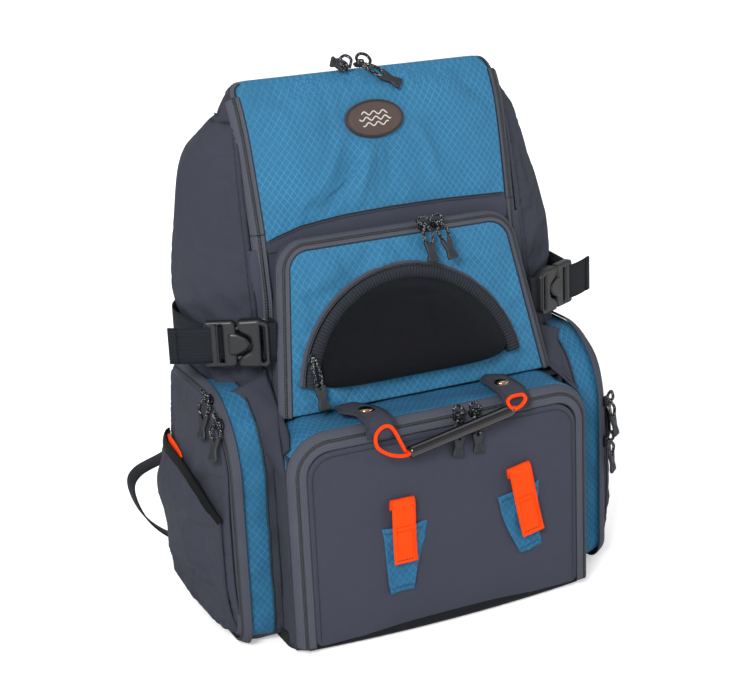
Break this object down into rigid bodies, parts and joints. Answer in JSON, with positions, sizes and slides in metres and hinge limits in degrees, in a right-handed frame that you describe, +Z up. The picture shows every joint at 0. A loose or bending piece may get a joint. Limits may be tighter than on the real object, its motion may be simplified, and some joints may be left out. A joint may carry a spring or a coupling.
{
  "type": "tackle backpack",
  "caption": "Soft tackle backpack with a drop-front lower box, fold-down main flap, moulded glasses case, side pockets and compression straps.",
  "frame": {"origin": "on the floor under the middle of the base panel", "axes": "+Z up, the front with the tackle flap looks along -Y, +X is to the right as seen from the front"},
  "size_m": [0.482, 0.3165, 0.5523],
  "materials": {
    "black_base": "coated weave",
    "blue_ripstop": "ripstop weave",
    "grey_weave": "plain weave",
    "lining": "smooth cloth",
    "zip_tape": "knitted tape",
    "webbing": "ribbed webbing",
    "orange": "ribbed webbing",
    "black_plastic": "satin",
    "tube": "gloss",
    "eva": "pressed foam with a fine cloth face",
    "snap_metal": "dark bronze",
    "slider_metal": "satin black",
    "pull_cord": "cord",
    "frame_plastic": "satin",
    "leather_badge": "embossed border"
  },
  "bodies": {
    "pack": {"base_panel": "black_base", "tackle_side_walls": "grey_weave", "shelf_panel": "blue_ripstop", "compartment_divider": "lining", "snap_studs": "snap_metal", "front_panel": "grey_weave", "top_panel": "blue_ripstop", "side_panels": "grey_weave", "body_zip_tapes": "zip_tape", "pocket_gusset": "blue_ripstop", "side_pocket_gussets": "blue_ripstop", "back_panel": "black_base", "frame_sheet": "frame_plastic", "back_pads": "black_base", "strap_yoke": "black_base", "shoulder_straps": "black_base", "ladder_locks": "black_plastic", "lower_webbing": "webbing", "compression_webbing": "webbing", "buckle_females": "black_plastic"},
    "tackle_flap": {"tackle_flap_panel": "grey_weave", "tackle_flap_zip_tape": "zip_tape", "tool_sleeves": "blue_ripstop", "handle_tabs": "grey_weave", "snap_caps": "snap_metal"},
    "carry_handle": {"handle_tube": "tube", "handle_cord": "orange"},
    "left_tool_tab": {"tool_tab_left": "orange"},
    "right_tool_tab": {"tool_tab_right": "orange"},
    "main_flap": {"main_flap_panel": "blue_ripstop", "main_flap_zip_tape": "zip_tape", "badge": "leather_badge"},
    "pocket_door": {"pocket_door_panel": "blue_ripstop", "pocket_door_zip_tape": "zip_tape", "case_base": "eva"},
    "case_lid": {"case_lid_shell": "eva", "case_zip_tape": "zip_tape"},
    "left_side_door": {"left_door_panel": "grey_weave", "left_bottle_pocket": "grey_weave"},
    "right_side_door": {"right_door_panel": "grey_weave", "right_bottle_pocket": "grey_weave"},
    "left_buckle": {"left_buckle_male": "black_plastic", "left_strap_tail": "webbing"},
    "right_buckle": {"right_buckle_male": "black_plastic", "right_strap_tail": "webbing"},
    "haul_grip": {"haul_loop": "webbing"},
    "main_left_slider": {"main_left_slider": "slider_metal"},
    "main_right_slider": {"main_right_slider": "slider_metal"},
    "pocket_left_slider": {"pocket_left_slider": "slider_metal"},
    "pocket_right_slider": {"pocket_right_slider": "slider_metal"},
    "tackle_left_slider": {"tackle_left_slider": "slider_metal"},
    "tackle_right_slider": {"tackle_right_slider": "slider_metal"},
    "case_slider": {"case_slider": "slider_metal"},
    "left_low_slider": {"left_low_slider": "slider_metal"},
    "left_high_slider": {"left_high_slider": "slider_metal"},
    "right_low_slider": {"right_low_slider": "slider_metal"},
    "right_high_slider": {"right_high_slider": "slider_metal"},
    "main_left_pull": {"main_left_pull": "pull_cord"},
    "main_right_pull": {"main_right_pull": "pull_cord"},
    "case_pull": {"case_pull": "pull_cord"}
  },
  "joints": [
    {"name": "tackle_flap_fold", "type": "hinge", "parent": "pack", "child": "tackle_flap", "pos_m": [0, -0.112, 0.012], "axis": [1, 0, 0], "range_deg": [0, 75]},
    {"name": "main_flap_fold", "type": "hinge", "parent": "pack", "child": "main_flap", "pos_m": [0, -0.012, 0.397], "axis": [1, 0, 0], "range_deg": [0, 85]},
    {"name": "pocket_door_fold", "type": "hinge", "parent": "pack", "child": "pocket_door", "pos_m": [0, -0.072, 0.229], "axis": [1, 0, 0], "range_deg": [0, 20]},
    {"name": "case_lid_fold", "type": "hinge", "parent": "pocket_door", "child": "case_lid", "pos_m": [0, -0.10784, 0.26774], "axis": [1, 0, 0], "range_deg": [0, 90]},
    {"name": "left_side_door_fold", "type": "hinge", "parent": "pack", "child": "left_side_door", "pos_m": [-0.20685, 0.095, 0.13], "axis": [0, 0, -1], "range_deg": [0, 65]},
    {"name": "right_side_door_fold", "type": "hinge", "parent": "pack", "child": "right_side_door", "pos_m": [0.20685, 0.095, 0.13], "axis": [0, 0, 1], "range_deg": [0, 65]},
    {"name": "left_buckle_release", "type": "slide", "parent": "pack", "child": "left_buckle", "axis": [-0.887, 0.4617, 0], "range_m": [0, 0.024]},
    {"name": "right_buckle_release", "type": "slide", "parent": "pack", "child": "right_buckle", "axis": [0.887, 0.4617, 0], "range_m": [0, 0.024]},
    {"name": "carry_handle_swing", "type": "hinge", "parent": "tackle_flap", "child": "carry_handle", "pos_m": [0, -0.1345, 0.2185], "axis": [-1, 0, 0], "range_deg": [0, 80]},
    {"name": "left_tool_tab_fold", "type": "hinge", "parent": "tackle_flap", "child": "left_tool_tab", "pos_m": [-0.052, -0.124, 0.145], "axis": [-1, 0, 0], "range_deg": [0, 90]},
    {"name": "right_tool_tab_fold", "type": "hinge", "parent": "tackle_flap", "child": "right_tool_tab", "pos_m": [0.07775, -0.124, 0.1523], "axis": [-0.9816, 0, -0.1908], "range_deg": [0, 90]},
    {"name": "haul_grip_fold", "type": "hinge", "parent": "pack", "child": "haul_grip", "pos_m": [0, 0.113, 0.47], "axis": [-1, 0, 0], "range_deg": [0, 40]},
    {"name": "main_left_slider_travel", "type": "slide", "parent": "main_flap", "child": "main_left_slider", "axis": [-1, 0, 0], "range_m": [0, 0.095]},
    {"name": "main_right_slider_travel", "type": "slide", "parent": "main_flap", "child": "main_right_slider", "axis": [1, 0, 0], "range_m": [0, 0.11]},
    {"name": "pocket_left_slider_travel", "type": "slide", "parent": "pocket_door", "child": "pocket_left_slider", "axis": [-1, 0, 0], "range_m": [0, 0.1]},
    {"name": "pocket_right_slider_travel", "type": "slide", "parent": "pocket_door", "child": "pocket_right_slider", "axis": [1, 0, 0], "range_m": [0, 0.045]},
    {"name": "tackle_left_slider_travel", "type": "slide", "parent": "tackle_flap", "child": "tackle_left_slider", "axis": [-1, 0, 0], "range_m": [0, 0.06]},
    {"name": "tackle_right_slider_travel", "type": "slide", "parent": "tackle_flap", "child": "tackle_right_slider", "axis": [1, 0, 0], "range_m": [0, 0.018]},
    {"name": "case_slider_travel", "type": "hinge", "parent": "case_lid", "child": "case_slider", "pos_m": [-0.006, -0.06965, 0.23864], "axis": [0, 0.9715, -0.2368], "range_deg": [0, 105]},
    {"name": "left_low_slider_travel", "type": "hinge", "parent": "left_side_door", "child": "left_low_slider", "pos_m": [-0.2113, -0.005, 0.18], "axis": [1, 0, 0], "range_deg": [0, 44]},
    {"name": "left_high_slider_travel", "type": "hinge", "parent": "left_side_door", "child": "left_high_slider", "pos_m": [-0.2113, -0.005, 0.18], "axis": [-1, 0, 0], "range_deg": [0, 23]},
    {"name": "right_low_slider_travel", "type": "slide", "parent": "right_side_door", "child": "right_low_slider", "axis": [0, 0, -1], "range_m": [0, 0.09]},
    {"name": "right_high_slider_travel", "type": "hinge", "parent": "right_side_door", "child": "right_high_slider", "pos_m": [0.2113, -0.005, 0.18], "axis": [-1, 0, 0], "range_deg": [0, 85]},
    {"name": "main_left_pull_swing", "type": "hinge", "parent": "main_left_slider", "child": "main_left_pull", "pos_m": [-0.018, 0.0256, 0.53689], "axis": [0.9703, 0.1363, 0.1999], "range_deg": [0, 70]},
    {"name": "main_right_pull_swing", "type": "hinge", "parent": "main_right_slider", "child": "main_right_pull", "pos_m": [0.001, 0.0256, 0.53689], "axis": [-0.6157, -0.4439, -0.6511], "range_deg": [0, 70]},
    {"name": "case_pull_swing", "type": "hinge", "parent": "case_slider", "child": "case_pull", "pos_m": [-0.10753, -0.07012, 0.29668], "axis": [-0.9511, 0.0732, 0.3002], "range_deg": [0, 60]}
  ]
}
